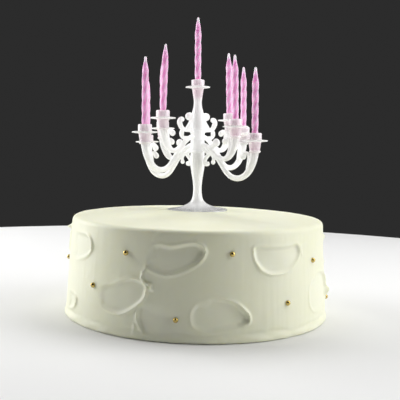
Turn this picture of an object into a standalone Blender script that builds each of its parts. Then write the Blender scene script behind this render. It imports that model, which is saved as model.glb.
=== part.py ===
"""Round iced birthday cake with a white plastic candelabra and nine twisted candles.

Scene units are metres, +Z up. The origin is the middle of the cake's underside and the front of
the cake faces -Y. Sizes below are written in millimetres and turned into metres by MM.
"""
import math

import bmesh
import bpy
from mathutils import Matrix, Vector

MM = 0.001
GAP = 0.3                       # clearance between pieces that touch

# Cake
CAKE_TOP_RADIUS = 102.5         # where the side meets the rounded edge
CAKE_BASE_RADIUS = 107.0
CAKE_EDGE_HEIGHT = 79.0         # height of the top's rim
CAKE_CROWN = 5.0                # rise of the top from its rim to its middle
CAKE_EDGE_ROUNDING = 4.0
CAKE_COLUMNS = 84
CAKE_ROWS = 10
RELIEF_FADE = 7.0               # the relief dies out over this height at the foot and at the edge

# Spatula strokes pressed into the side: angle from the front in degrees (positive to the right),
# height of the middle, half width, half height, tilt, depth, height of the pushed-up rim, and
# the direction in which that rim stands highest (0 right, 90 up).
STROKES = (
    (-8.4, 58.0, 24.0, 11.5, 8, 1.9, 1.6, -40),
    (-57.0, 60.0, 14.0, 11.0, -10, 1.7, 1.5, -10),
    (-31.0, 30.0, 22.0, 12.5, 16, 1.9, 1.6, 0),
    (9.3, 20.5, 22.0, 12.5, -14, 1.9, 1.6, 35),
    (-12.5, 13.5, 23.0, 14.0, -8, 1.4, 1.5, 205),
    (35.0, 57.5, 21.5, 13.0, 4, 1.8, 1.5, 250),
    (67.0, 27.5, 19.0, 12.0, -20, 1.6, 1.9, 50),
    (-70.0, 21.0, 12.0, 11.0, 0, 1.6, 1.2, 0),
    (86.0, 58.0, 20.0, 11.5, 10, 1.8, 1.5, -30),
    (-100.0, 56.0, 21.0, 12.0, 12, 1.8, 1.6, 200),
    (-108.0, 22.0, 22.0, 12.0, -10, 1.8, 1.5, 30),
    (-140.0, 34.0, 21.0, 12.5, 15, 1.8, 1.6, 10),
    (-160.0, 60.0, 20.0, 11.0, -6, 1.7, 1.5, 240),
    (106.0, 24.0, 22.0, 12.5, 12, 1.8, 1.5, -20),
    (131.0, 55.0, 22.0, 12.0, -12, 1.8, 1.6, 45),
    (150.0, 20.0, 21.0, 12.5, 8, 1.8, 1.5, 215),
    (178.0, 33.0, 20.0, 12.0, -15, 1.7, 1.5, 20),
)
RIM_WIDTH = 0.28                # width of a rim as a share of its stroke's half size

# Candelabra: it stands a little behind the middle of the cake, pressed into the icing, and leans
SEAT = (-0.8, 5.75, 84.0)       # middle of the foot's rim
LEAN = -1.24                    # degrees about Y, so the top leans to -X
FOOT_RADIUS = 25.0
FOOT_SINK = 0.9                 # depth of the foot's underside below SEAT
HUB_RADIUS = 5.8
STAND_TOP = 49.2
LOWER_HUB_TOP = 57.2
UPPER_HUB_TOP = 65.5
UPPER_FRAME_RISE = 6.85         # the upper arm frame sits this much above the lower one
UPPER_FRAME_TURN = 47.0         # degrees about Z, from +X
LOWER_FRAME_TURN = -41.3
LOWER_FRAME_TILT = -0.5         # degrees: the lower frame's rear left side sits a little low
FRAME_PIVOT = 53.0              # height about which a frame tilts

# Sockets
SHORT_ARM = (40.2, 68.1)        # distance of a socket from the column, and height of its pan
LONG_ARM = (59.45, 56.7)
MIDDLE_PAN_HEIGHT = 101.3
PAN_RADIUS = 10.2
PAN_THICKNESS = 1.8
CUP_RADIUS = 5.4
CUP_RISE = 6.1                  # from the pan's middle plane to the cup's mouth
BORE_RADIUS = 2.85
BORE_DEPTH = 13.7

# Candles
CANDLE_LENGTH = 63.5
CANDLE_RADIUS = 2.7
CANDLE_FOOT_RADIUS = 2.3
CANDLE_HELD_RADIUS = 2.5        # at the top of the part that fits in a socket
CANDLE_HELD_HEIGHT = 13.5
CANDLE_TIP_RADIUS = 1.15
CANDLE_LOBES = 4
CANDLE_GROOVE = 0.4             # depth of the grooves between the lobes
CANDLE_TWIST_LENGTH = 40.0      # height of one full turn, rising to the right
CANDLE_RING_SPACING = 6.0
CANDLE_INSERTION = 12.0         # depth of a candle in its socket
CANDLE_DEPTHS = {               # candles pushed in deeper or less deep than that
    "middle": 12.9,
    "lower_short_right": 13.35,
    "lower_long_right": 12.9,
    "lower_short_left": 11.65,
    "lower_long_left": 11.5,
    "upper_long_right": 10.9,
}
CANDLE_TILT_HEIGHT = 9.0        # a candle tilts about this height above its own foot
CANDLE_TILTS = {                # degrees towards +X
    "upper_short_left": 2.3,
    "upper_short_right": -1.0,
    "lower_short_right": -1.0,
    "upper_long_left": 0.5,
    "upper_long_right": -0.3,
}


def smooth_step(value):
    value = min(max(value, 0.0), 1.0)
    return value * value * (3.0 - 2.0 * value)


def make_collection(name):
    collection = bpy.data.collections.new(name)
    bpy.context.scene.collection.children.link(collection)
    return collection


def make_material(name, colour, roughness, transmission=0.0):
    material = bpy.data.materials.new(name)
    material.use_nodes = True
    shader = material.node_tree.nodes["Principled BSDF"]
    shader.inputs["Base Color"].default_value = (*colour, 1.0)
    shader.inputs["Roughness"].default_value = roughness
    shader.inputs["Metallic"].default_value = 0.0
    shader.inputs["Transmission Weight"].default_value = transmission
    return material


def add_object(name, data, collection, material=None):
    obj = bpy.data.objects.new(name, data)
    collection.objects.link(obj)
    if material is not None:
        data.materials.append(material)
    return obj


def evaluated_mesh(obj):
    """The mesh that an object shows once its modifiers or its bevel are worked out."""
    graph = bpy.context.evaluated_depsgraph_get()
    graph.update()
    return bpy.data.meshes.new_from_object(obj.evaluated_get(graph), depsgraph=graph)


def freeze(obj):
    """Put an object's evaluated shape in its mesh and drop the modifiers."""
    mesh = evaluated_mesh(obj)
    old = obj.data
    obj.modifiers.clear()
    obj.data = mesh
    bpy.data.meshes.remove(old)
    return obj


def smooth(obj, angle=40):
    obj.data.shade_smooth()
    obj.data.set_sharp_from_angle(angle=math.radians(angle))
    return obj


def turned(name, profile, steps, collection, material=None):
    """A closed turned shape from (radius, height) pairs that run from its top to its bottom."""
    mesh = bpy.data.meshes.new(name)
    points = [(radius * MM, 0.0, height * MM) for radius, height in profile]
    edges = [(i, i + 1) for i in range(len(points) - 1)]
    mesh.from_pydata(points, edges, [])
    obj = add_object(name, mesh, collection, material)
    screw = obj.modifiers.new("turn", 'SCREW')
    screw.steps = steps
    screw.render_steps = steps
    screw.use_merge_vertices = True
    screw.merge_threshold = 0.00005
    screw.use_smooth_shade = True
    return obj


def rod(name, path, collection, sides=6):
    """A round rod in the XZ plane through (distance, height, radius) points."""
    curve = bpy.data.curves.new(name, 'CURVE')
    curve.dimensions = '3D'
    curve.bevel_depth = MM
    curve.bevel_resolution = (sides - 4) // 2
    curve.use_fill_caps = True
    spline = curve.splines.new('POLY')
    spline.points.add(len(path) - 1)
    for point, (distance, height, radius) in zip(spline.points, path):
        point.co = (distance * MM, 0.0, height * MM, 1.0)
        point.radius = radius
    drawn = add_object(name + "_curve", curve, collection)
    mesh = evaluated_mesh(drawn)
    weld = bmesh.new()
    weld.from_mesh(mesh)
    bmesh.ops.remove_doubles(weld, verts=weld.verts, dist=0.000001)
    weld.to_mesh(mesh)
    weld.free()
    bpy.data.objects.remove(drawn)
    bpy.data.curves.remove(curve)
    return add_object(name, mesh, collection)


def bead(name, distance, height, radius, collection, flatness=0.75):
    """A rounded scroll end, flattened across the plane of its frame."""
    mesh = bpy.data.meshes.new(name)
    shape = bmesh.new()
    bmesh.ops.create_uvsphere(shape, u_segments=6, v_segments=5, radius=radius * MM)
    bmesh.ops.scale(shape, vec=(1.0, flatness, 1.0), verts=shape.verts)
    bmesh.ops.translate(shape, vec=(distance * MM, 0.0, height * MM), verts=shape.verts)
    shape.to_mesh(mesh)
    shape.free()
    return add_object(name, mesh, collection)


def join_all(first, others):
    """Join other solids to the first one and use them up."""
    for other in others:
        step = first.modifiers.new(other.name, 'BOOLEAN')
        step.operation = 'UNION'
        step.solver = 'EXACT'
        step.object = other
        freeze(first)
        bpy.data.objects.remove(other)
    return first


def turned_copy(obj, degrees, collection):
    """A copy of a solid, turned about the column."""
    mesh = obj.data.copy()
    mesh.transform(Matrix.Rotation(math.radians(degrees), 4, 'Z'))
    return add_object(f"{obj.name}_{degrees:g}", mesh, collection)


def socket_profile(pan_height):
    """Bore for the candle, cup and drip pan, from the bottom of the bore to under the pan."""
    mouth = pan_height + CUP_RISE
    return [
        (0.0, mouth - BORE_DEPTH), (BORE_RADIUS, mouth - BORE_DEPTH), (BORE_RADIUS, mouth),
        (CUP_RADIUS, mouth), (CUP_RADIUS, pan_height + PAN_THICKNESS / 2),
        (PAN_RADIUS, pan_height), (4.9, pan_height - PAN_THICKNESS / 2),
    ]


# ---- Cake ----

def stroke_relief(arc, rise, stroke):
    """Height of the icing, in millimetres, that one spatula stroke adds or takes away."""
    _, _, half_width, half_height, tilt, depth, rim, rim_side = stroke
    turn = math.radians(tilt)
    along = arc * math.cos(turn) + rise * math.sin(turn)
    across = rise * math.cos(turn) - arc * math.sin(turn)
    reach = math.hypot(along / half_width, across / half_height)
    if reach > 1.0 + 2.5 * RIM_WIDTH:
        return 0.0
    side = math.atan2(across / half_height, along / half_width) - math.radians(rim_side - tilt)
    fullness = math.sqrt(0.5 + 0.5 * math.cos(side))
    dent = -depth * smooth_step(1.4 * (1.0 - reach)) * (0.35 + 0.65 * fullness)
    return dent + rim * fullness * math.exp(-((reach - 1.0) / RIM_WIDTH) ** 2)


def icing_relief(angle, height, radius):
    """Sum of all the strokes at an angle (degrees) and a height (millimetres) on the side."""
    total = 0.0
    for stroke in STROKES:
        turn = (angle - stroke[0] + 180.0) % 360.0 - 180.0
        total += stroke_relief(math.radians(turn) * radius, height - stroke[1], stroke)
    fade = smooth_step(height / RELIEF_FADE)
    fade *= smooth_step((CAKE_EDGE_HEIGHT - height) / RELIEF_FADE)
    return total * fade


def cake_profile():
    """Crowned top, rounded edge and flaring side, from the top's middle to the base's middle."""
    edge_radius = CAKE_TOP_RADIUS - CAKE_EDGE_ROUNDING
    profile = []
    for share in (0.0, 0.3, 0.7):
        profile.append((edge_radius * share, CAKE_EDGE_HEIGHT + CAKE_CROWN * (1.0 - share ** 2)))
    for degrees in (85, 45, 12):
        turn = math.radians(degrees)
        profile.append((edge_radius + CAKE_EDGE_ROUNDING * math.cos(turn),
                        CAKE_EDGE_HEIGHT + CAKE_EDGE_ROUNDING * (math.sin(turn) - 1.0)))
    side_height = CAKE_EDGE_HEIGHT - CAKE_EDGE_ROUNDING
    for row in range(1, CAKE_ROWS + 1):
        share = row / CAKE_ROWS
        radius = CAKE_TOP_RADIUS + (CAKE_BASE_RADIUS - CAKE_TOP_RADIUS) * share
        profile.append((radius, side_height * (1.0 - share)))
    profile.append((0.0, 0.0))
    return profile


def build_cake(parts, cutters, seat, icing):
    cake = freeze(turned("cake", cake_profile(), CAKE_COLUMNS, parts, icing))
    for vertex in cake.data.vertices:
        x, y, z = vertex.co / MM
        radius = math.hypot(x, y)
        if radius > CAKE_TOP_RADIUS - CAKE_EDGE_ROUNDING:
            push = icing_relief(math.degrees(math.atan2(x, -y)), z, radius) / radius
            vertex.co.x += x * push * MM
            vertex.co.y += y * push * MM
    smooth(cake, 50)

    pocket_radius = FOOT_RADIUS + GAP
    floor = -FOOT_SINK - GAP
    profile = [(0.0, 6.0), (pocket_radius, 6.0), (pocket_radius, floor), (0.0, floor)]
    pocket = turned("foot_pocket", profile, 48, cutters)
    pocket.parent = seat
    pocket.hide_render = True
    pocket.display_type = 'WIRE'
    cut = cake.modifiers.new("foot_pocket", 'BOOLEAN')
    cut.operation = 'DIFFERENCE'
    cut.solver = 'EXACT'
    cut.object = pocket


# ---- Candelabra ----

def build_stand(parts, seat, plastic):
    """Foot, stem and lower column in one moulding."""
    profile = [
        (0.0, STAND_TOP), (HUB_RADIUS, STAND_TOP), (6.2, 48.2), (5.8, 47.2), (5.9, 36.0),
        (4.0, 24.6), (3.6, 17.5), (4.0, 11.0), (5.6, 7.2), (9.0, 4.1), (15.5, 1.9),
        (FOOT_RADIUS, 0.2), (FOOT_RADIUS, -FOOT_SINK), (0.0, -FOOT_SINK),
    ]
    turned("candelabra_stand", profile, 20, parts, plastic).parent = seat


def build_column_top(parts, seat, plastic):
    """Upper column, neck, pan and cup for the middle candle."""
    foot = UPPER_HUB_TOP + GAP
    profile = socket_profile(MIDDLE_PAN_HEIGHT) + [
        (4.2, 96.5), (3.4, 89.0), (4.2, 82.0), (5.7, 75.5), (HUB_RADIUS, foot), (0.0, foot),
    ]
    turned("column_top", profile, 14, parts, plastic).parent = seat


def build_socket(distance, pan_height, collection):
    """Bore, cup, drip pan and collared sleeve at the end of an arm."""
    profile = socket_profile(pan_height) + [
        (4.0, pan_height - 7.2), (4.5, pan_height - 8.4), (0.0, pan_height - 10.0),
    ]
    socket = freeze(turned("socket", profile, 10, collection))
    socket.data.transform(Matrix.Translation((distance * MM, 0.0, 0.0)))
    return socket


def build_curl(distance, pan_height, collection):
    """The curl that rises along the inner side of an arm and ends in a ball below its socket."""
    path = [(-8.0, -25.5, 1.4), (-5.8, -16.5, 1.6), (-5.9, -11.6, 1.7), (-8.8, -9.8, 1.9),
            (-11.0, -11.4, 2.5), (-11.3, -13.4, 2.3), (-11.0, -15.0, 1.0)]
    return rod("curl", [(distance + x, pan_height + z, radius) for x, z, radius in path],
               collection)


def build_arm_side(collection):
    """The short and the long arm on one side of a frame, as one solid in the XZ plane."""
    long_arm = rod(
        "long_arm",
        [(4.0, 54.2, 2.0), (7.6, 53.5, 1.9), (13.2, 50.7, 2.0), (19.4, 45.4, 2.1),
         (27.2, 36.2, 2.3), (34.0, 29.2, 2.4), (42.4, 27.0, 2.5), (50.4, 29.8, 2.7),
         (56.6, 37.6, 3.1), (59.1, 48.2, 3.4)], collection)
    short_arm = rod(
        "short_arm",
        [(18.5, 47.5, 1.7), (23.4, 43.0, 1.8), (28.2, 41.8, 1.9), (34.4, 44.0, 2.3),
         (39.0, 50.8, 2.9), (40.05, 59.7, 3.4)], collection)
    pieces = [short_arm]
    for distance, pan_height in (SHORT_ARM, LONG_ARM):
        pieces.append(build_socket(distance, pan_height, collection))
        pieces.append(build_curl(distance, pan_height, collection))
    return join_all(long_arm, pieces)


def upper_scrolls(collection):
    """Tall scrolls beside the column above the arms of the upper frame."""
    column_scroll = [(5.0, 62.2, 1.6), (8.2, 66.0, 1.8), (8.2, 74.0, 1.9), (9.4, 78.0, 2.3)]
    leaf = [(8.3, 73.6, 1.7), (10.2, 69.6, 2.0), (13.4, 66.4, 1.7)]
    hook = [(4.8, 64.2, 1.5), (13.5, 65.8, 1.5), (18.6, 67.2, 1.8), (21.4, 71.2, 2.2),
            (20.3, 74.4, 2.2), (18.2, 74.4, 2.2), (16.8, 74.0, 1.2)]
    link = [(10.0, 59.2, 1.7), (17.0, 59.7, 1.7), (19.1, 62.6, 1.9), (18.8, 67.6, 1.7)]
    return [
        rod("column_scroll", column_scroll, collection),
        bead("column_scroll_end", 10.8, 77.1, 3.4, collection),
        rod("leaf", leaf, collection),
        rod("hook", hook, collection),
        rod("link", link, collection),
    ]


def lower_scrolls(collection):
    """Drooping scrolls below the arms of the lower frame, and the round bosses at its elbows."""
    root = [(5.0, 51.3, 1.4), (7.9, 50.5, 1.4), (9.6, 48.2, 1.6)]
    hook = [(9.2, 49.0, 1.5), (11.6, 47.2, 1.5), (16.0, 45.6, 1.7), (18.0, 42.4, 1.9),
            (17.2, 39.6, 2.1), (16.6, 37.8, 1.1)]
    column_scroll = [(13.4, 46.8, 1.5), (8.6, 42.4, 1.6), (8.1, 39.2, 1.6), (9.8, 37.7, 1.8),
                     (11.4, 38.6, 2.1), (11.8, 40.2, 1.1)]
    boss = [(13.6, 50.6, 1.8), (18.0, 53.5, 2.2), (20.6, 55.3, 3.6), (23.0, 56.9, 1.6)]
    return [
        rod("root", root, collection),
        rod("hook", hook, collection),
        rod("column_scroll", column_scroll, collection),
        rod("elbow_boss", boss, collection),
    ]


def frame_place(turn, tilt):
    """Where a frame stands on the column: turned about it and tilted about its hub's middle."""
    pivot = Matrix.Translation((0.0, 0.0, FRAME_PIVOT * MM))
    return (Matrix.Rotation(math.radians(turn), 4, 'Z')
            @ pivot @ Matrix.Rotation(math.radians(tilt), 4, 'Y') @ pivot.inverted())


def build_arm_frame(name, hub_span, rise, scrolls, place, side, parts, seat, plastic):
    """A four-armed frame: a hub on the column, both arms and the scrolls on either side of it."""
    bottom, top = hub_span
    profile = [(0.0, top), (HUB_RADIUS, top), (HUB_RADIUS + 0.3, (top + bottom) / 2),
               (HUB_RADIUS, bottom), (0.0, bottom)]
    frame = freeze(turned(name, profile, 14, parts, plastic))
    raised = turned_copy(side, 0, parts)
    raised.data.transform(Matrix.Translation((0.0, 0.0, rise * MM)))
    half = join_all(raised, scrolls(parts))
    opposite = turned_copy(half, 180, parts)
    join_all(frame, [half, opposite])
    smooth(frame)
    frame.parent = seat
    frame.matrix_local = place


# ---- Candles ----

def candle_profile():
    """A slim candle, narrower where a socket holds it, and narrowing to a blunt wick."""
    shoulder = CANDLE_LENGTH - 11.0
    profile = [
        (0.0, CANDLE_LENGTH), (CANDLE_TIP_RADIUS, CANDLE_LENGTH),
        (CANDLE_TIP_RADIUS + 0.15, CANDLE_LENGTH - 4.0), (CANDLE_RADIUS - 0.6, shoulder + 2.5),
    ]
    full = CANDLE_HELD_HEIGHT + 0.7
    turns = math.ceil((shoulder - full) / CANDLE_RING_SPACING)
    for ring in range(turns + 1):
        share = ring / turns
        profile.append((CANDLE_RADIUS, shoulder + (full - shoulder) * share))
    return profile + [(CANDLE_HELD_RADIUS, CANDLE_HELD_HEIGHT), (CANDLE_FOOT_RADIUS, 0.0),
                      (0.0, 0.0)]


def build_candle(parts, wax):
    """A candle with four lobes twisted round it, standing at the origin."""
    candle = freeze(turned("candle", candle_profile(), 2 * CANDLE_LOBES, parts, wax))
    for vertex in candle.data.vertices:
        x, y, z = vertex.co / MM
        angle = math.atan2(y, x)
        radius = math.hypot(x, y)
        groove = CANDLE_GROOVE * smooth_step((z - CANDLE_HELD_HEIGHT) / 2.0)
        groove *= smooth_step((radius - CANDLE_TIP_RADIUS) / 1.5)
        radius -= groove * (0.5 - 0.5 * math.cos(CANDLE_LOBES * angle))
        angle += 2.0 * math.pi * z / CANDLE_TWIST_LENGTH
        if radius > 0.01:
            vertex.co.x = radius * math.cos(angle) * MM
            vertex.co.y = radius * math.sin(angle) * MM
    return smooth(candle, 60)


def place_candle(name, model, distance, pan_height, place, parts, seat):
    """One candle in the socket at that distance from the column."""
    candle = add_object("candle_" + name, model.data, parts)
    depth = CANDLE_DEPTHS.get(name, CANDLE_INSERTION)
    foot = place @ (Vector((distance, 0.0, pan_height + CUP_RISE - depth)) * MM)
    pivot = Matrix.Translation((0.0, 0.0, CANDLE_TILT_HEIGHT * MM))
    tilt = Matrix.Rotation(math.radians(CANDLE_TILTS.get(name, 0.0)), 4, 'Y')
    candle.parent = seat
    candle.matrix_local = Matrix.Translation(foot) @ pivot @ tilt @ pivot.inverted()


def main():
    for obj in list(bpy.data.objects):
        bpy.data.objects.remove(obj)

    parts = make_collection("birthday_cake")
    cutters = make_collection("cutters")
    icing = make_material("icing", (0.93, 0.92, 0.86), 0.5)
    plastic = make_material("white_plastic", (0.92, 0.92, 0.93), 0.25, 0.2)
    wax = make_material("pink_wax", (0.88, 0.38, 0.66), 0.45)

    seat = bpy.data.objects.new("candelabra_seat", None)
    seat.location = Vector(SEAT) * MM
    seat.rotation_euler.y = math.radians(LEAN)
    parts.objects.link(seat)

    build_cake(parts, cutters, seat, icing)
    build_stand(parts, seat, plastic)
    build_column_top(parts, seat, plastic)

    side = build_arm_side(parts)
    candle = build_candle(parts, wax)
    frames = (
        ("lower", (STAND_TOP + GAP, LOWER_HUB_TOP), 0.0, lower_scrolls,
         frame_place(LOWER_FRAME_TURN, LOWER_FRAME_TILT)),
        ("upper", (LOWER_HUB_TOP + GAP, UPPER_HUB_TOP), UPPER_FRAME_RISE, upper_scrolls,
         frame_place(UPPER_FRAME_TURN, 0.0)),
    )
    for name, hub_span, rise, scrolls, place in frames:
        build_arm_frame(name + "_arm_frame", hub_span, rise, scrolls, place, side, parts, seat,
                        plastic)
        for arm, (distance, pan_height) in (("short", SHORT_ARM), ("long", LONG_ARM)):
            for end, sign in (("right", 1), ("left", -1)):
                place_candle(f"{name}_{arm}_{end}", candle, sign * distance, pan_height + rise,
                             place, parts, seat)
    place_candle("middle", candle, 0.0, MIDDLE_PAN_HEIGHT, Matrix.Identity(4), parts, seat)
    bpy.data.objects.remove(side)
    bpy.data.objects.remove(candle)


main()
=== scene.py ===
import math

import bpy
import numpy as np
from mathutils import Matrix, Vector, noise


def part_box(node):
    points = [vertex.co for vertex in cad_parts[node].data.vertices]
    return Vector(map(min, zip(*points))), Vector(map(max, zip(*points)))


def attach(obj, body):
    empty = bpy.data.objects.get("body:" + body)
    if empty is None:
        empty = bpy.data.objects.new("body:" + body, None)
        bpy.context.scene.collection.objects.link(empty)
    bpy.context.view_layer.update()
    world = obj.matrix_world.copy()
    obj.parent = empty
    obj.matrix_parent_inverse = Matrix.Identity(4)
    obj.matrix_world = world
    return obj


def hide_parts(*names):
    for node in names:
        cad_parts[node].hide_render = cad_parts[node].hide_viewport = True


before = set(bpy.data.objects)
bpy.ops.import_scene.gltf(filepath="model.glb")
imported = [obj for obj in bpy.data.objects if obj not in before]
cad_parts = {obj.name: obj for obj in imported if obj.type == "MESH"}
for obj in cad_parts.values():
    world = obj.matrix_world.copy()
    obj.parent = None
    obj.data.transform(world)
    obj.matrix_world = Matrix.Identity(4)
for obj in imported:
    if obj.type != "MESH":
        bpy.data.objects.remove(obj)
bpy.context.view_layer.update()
mm = 0.001
print("frame loaded,", len(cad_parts), "solids")


def deselectAll():
    bpy.ops.object.select_all(action='DESELECT')


def selectOnly(*pieces):
    deselectAll()
    for piece in pieces:
        piece.select_set(True)
    bpy.context.view_layer.objects.active = pieces[0]


def settle(piece):
    # puts the place and turn of a piece in its mesh, so that its object sits at the origin
    selectOnly(piece)
    bpy.ops.object.transform_apply(location=True, rotation=True, scale=True)
    return piece


def place(piece, matrix):
    piece.matrix_world = matrix @ piece.matrix_world
    return settle(piece)


def copyOf(piece, name):
    selectOnly(piece)
    bpy.ops.object.duplicate(linked=False)
    twin = bpy.context.object
    twin.name = name
    return twin


def joined(name, pieces):
    selectOnly(*pieces)
    if len(pieces) > 1:
        bpy.ops.object.join()
    whole = bpy.context.object
    whole.name = name
    return whole


def applyModifier(piece, kind, **settings):
    selectOnly(piece)
    step = piece.modifiers.new(kind.title(), kind)
    for key, value in settings.items():
        setattr(step, key, value)
    bpy.ops.object.modifier_apply(modifier=step.name)
    return piece


def unite(piece, other):
    applyModifier(piece, 'BOOLEAN', operation='UNION', solver='EXACT', object=other)
    bpy.data.objects.remove(other)
    return piece


def smoothShaded(piece, degrees):
    selectOnly(piece)
    bpy.ops.object.shade_smooth_by_angle(angle=math.radians(degrees))
    return piece


def easedLine(points, steps):
    # a rounded line through the points, with this many steps from each point to the next
    points = np.array(points, float)
    ends = np.vstack([2 * points[0] - points[1], points, 2 * points[-1] - points[-2]])
    line = []
    for before, start, end, after in zip(ends, ends[1:], ends[2:], ends[3:]):
        for step in range(steps):
            t = step / steps
            line.append(0.5 * (2 * start + (end - before) * t
                               + (2 * before - 5 * start + 4 * end - after) * t ** 2
                               + (3 * start - before - 3 * end + after) * t ** 3))
    line.append(points[-1])
    return [tuple(float(value) for value in point) for point in line]


def turnedPiece(name, profile, steps):
    # one point is drawn out along the (radius, height) profile, then spun round the upright axis
    deselectAll()
    bpy.ops.mesh.primitive_plane_add(size=mm)
    piece = bpy.context.object
    piece.name = name
    bpy.ops.object.mode_set(mode='EDIT')
    bpy.ops.mesh.select_all(action='SELECT')
    bpy.ops.mesh.merge(type='CENTER')
    radius, height = profile[0]
    bpy.ops.transform.translate(value=(radius * mm, 0, height * mm))
    for nextRadius, nextHeight in profile[1:]:
        move = ((nextRadius - radius) * mm, 0, (nextHeight - height) * mm)
        bpy.ops.mesh.extrude_region_move(TRANSFORM_OT_translate={"value": move})
        radius, height = nextRadius, nextHeight
    bpy.ops.mesh.select_all(action='SELECT')
    bpy.ops.mesh.spin(steps=steps, angle=2 * math.pi, center=(0, 0, 0), axis=(0, 0, 1))
    bpy.ops.mesh.select_all(action='SELECT')
    bpy.ops.mesh.remove_doubles(threshold=0.002 * mm)
    bpy.ops.mesh.normals_make_consistent(inside=False)
    bpy.ops.object.mode_set(mode='OBJECT')
    return settle(piece)


def rodPiece(name, path, sides=12, steps=4):
    # a disc at the start of an (x, height, radius) path is drawn along it, turned and resized
    line = easedLine(path, steps)
    x, z, radius = line[0]
    heading = math.atan2(line[1][1] - z, line[1][0] - x)
    deselectAll()
    bpy.ops.mesh.primitive_circle_add(vertices=sides, radius=radius * mm, fill_type='NGON',
                                      location=(x * mm, 0, z * mm),
                                      rotation=(0, math.pi / 2 - heading, 0))
    piece = bpy.context.object
    piece.name = name
    bpy.ops.object.mode_set(mode='EDIT')
    bpy.ops.mesh.select_all(action='SELECT')
    for index in range(1, len(line)):
        newX, newZ, newRadius = line[index]
        before, after = line[index - 1], line[min(index + 1, len(line) - 1)]
        newHeading = math.atan2(after[1] - before[1], after[0] - before[0])
        turn = (newHeading - heading + math.pi) % (2 * math.pi) - math.pi
        centre = (newX * mm, 0, newZ * mm)
        move = ((newX - x) * mm, 0, (newZ - z) * mm)
        bpy.ops.mesh.extrude_region_move(TRANSFORM_OT_translate={"value": move})
        bpy.ops.transform.rotate(value=turn, orient_axis='Y', center_override=centre)
        bpy.ops.transform.resize(value=(newRadius / radius,) * 3, center_override=centre)
        x, z, radius, heading = newX, newZ, newRadius, newHeading
    bpy.ops.mesh.select_all(action='SELECT')
    bpy.ops.mesh.normals_make_consistent(inside=False)
    bpy.ops.object.mode_set(mode='OBJECT')
    return settle(piece)


def knobPiece(name, x, z, radius, flatness=0.8):
    # a scroll's round end, flattened across the scroll
    deselectAll()
    bpy.ops.mesh.primitive_uv_sphere_add(segments=20, ring_count=12, radius=radius * mm,
                                         location=(x * mm, 0, z * mm))
    piece = bpy.context.object
    piece.name = name
    bpy.ops.object.mode_set(mode='EDIT')
    bpy.ops.mesh.select_all(action='SELECT')
    bpy.ops.transform.resize(value=(1, flatness, 1), center_override=(x * mm, 0, z * mm))
    bpy.ops.object.mode_set(mode='OBJECT')
    return settle(piece)


def pickPoints(piece, wanted):
    # leaves the piece in edit mode with only the wanted points selected
    bpy.ops.object.mode_set(mode='EDIT')
    bpy.ops.mesh.select_mode(type='VERT')
    bpy.ops.mesh.select_all(action='DESELECT')
    bpy.ops.object.mode_set(mode='OBJECT')
    for index, point in enumerate(piece.data.vertices):
        point.select = bool(wanted(index, point))
    bpy.ops.object.mode_set(mode='EDIT')


def readPoints(piece):
    points = np.empty(len(piece.data.vertices) * 3)
    piece.data.vertices.foreach_get("co", points)
    return points.reshape(-1, 3)


def writePoints(piece, points):
    piece.data.vertices.foreach_set("co", points.ravel())
    piece.data.update()


def paintPoints(piece, name, values):
    # a number on each point of a piece, which its material reads by this name
    layer = piece.data.attributes.new(name, 'FLOAT', 'POINT')
    layer.data.foreach_set("value", np.asarray(values, np.float32))


def easeStep(values):
    values = np.clip(values, 0, 1)
    return values * values * (3 - 2 * values)


def roughness3d(points, size, seed):
    # soft noise at each point, with lumps about this many millimetres wide
    shift = Vector((seed * 3.7, seed * 1.3, seed * 2.9))
    return np.array([noise.noise(Vector(point) / size + shift) for point in points])


icingSizes = {
    "topRadius": 102.5,         # where the side meets the rounded edge
    "edgeHeight": 79.0,
    "crown": 5.0,               # rise of the top from its edge to its middle
    "edgeRounding": 4.0,
    "columns": 720,
    "rows": 84,
    "scraperMarks": 0.07,       # depth of the upright marks that the scraper leaves
    "waviness": 0.35,           # slow unevenness of the whole side
    "skirt": 1.1,               # how far the icing swells where it meets the board
}

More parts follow.
